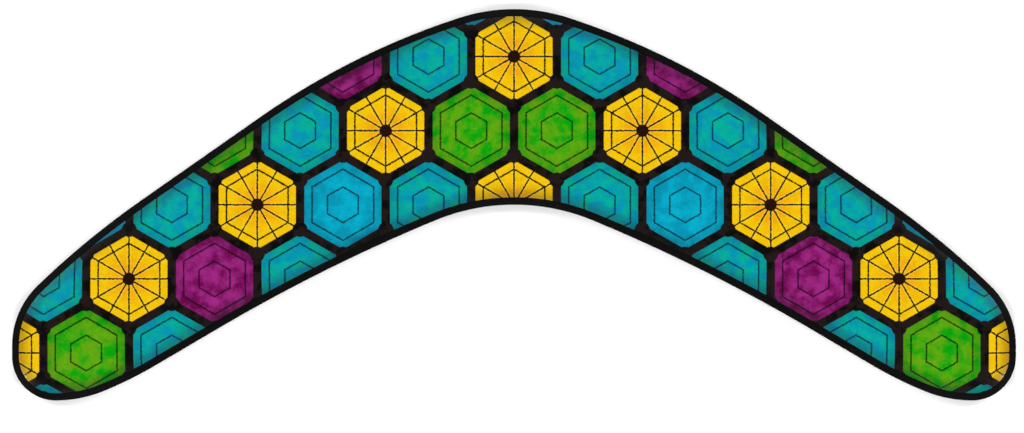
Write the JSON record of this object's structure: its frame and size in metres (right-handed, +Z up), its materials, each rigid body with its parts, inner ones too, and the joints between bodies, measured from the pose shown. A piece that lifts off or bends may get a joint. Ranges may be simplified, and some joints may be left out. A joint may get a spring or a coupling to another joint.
{
  "type": "boomerang",
  "caption": "Flat two-armed returning boomerang of laminated birch veneer, with a domed printed face and a black edge band.",
  "frame": {"origin": "underside plane, below the centre of the bounding box", "axes": "+Z up out of the printed face, +X tip to tip, +Y towards the outside of the elbow"},
  "size_m": [0.4, 0.156, 0.0062],
  "materials": {
    "birch_veneer": "clear lacquered birch",
    "printed_film": "glossy colour print",
    "black_edge": "satin black"
  },
  "bodies": {
    "root": {"ply_01": "birch_veneer", "ply_02": "birch_veneer", "ply_03": "birch_veneer", "ply_04": "birch_veneer", "ply_05": "birch_veneer", "ply_06": "birch_veneer", "ply_07": "birch_veneer", "ply_08": "birch_veneer", "ply_09": "birch_veneer", "ply_10": "birch_veneer", "ply_11": "birch_veneer", "ply_12": "birch_veneer", "printed_face": "printed_film", "edge_band_outer": "black_edge", "edge_band_inner": "black_edge"}
  },
  "joints": []
}
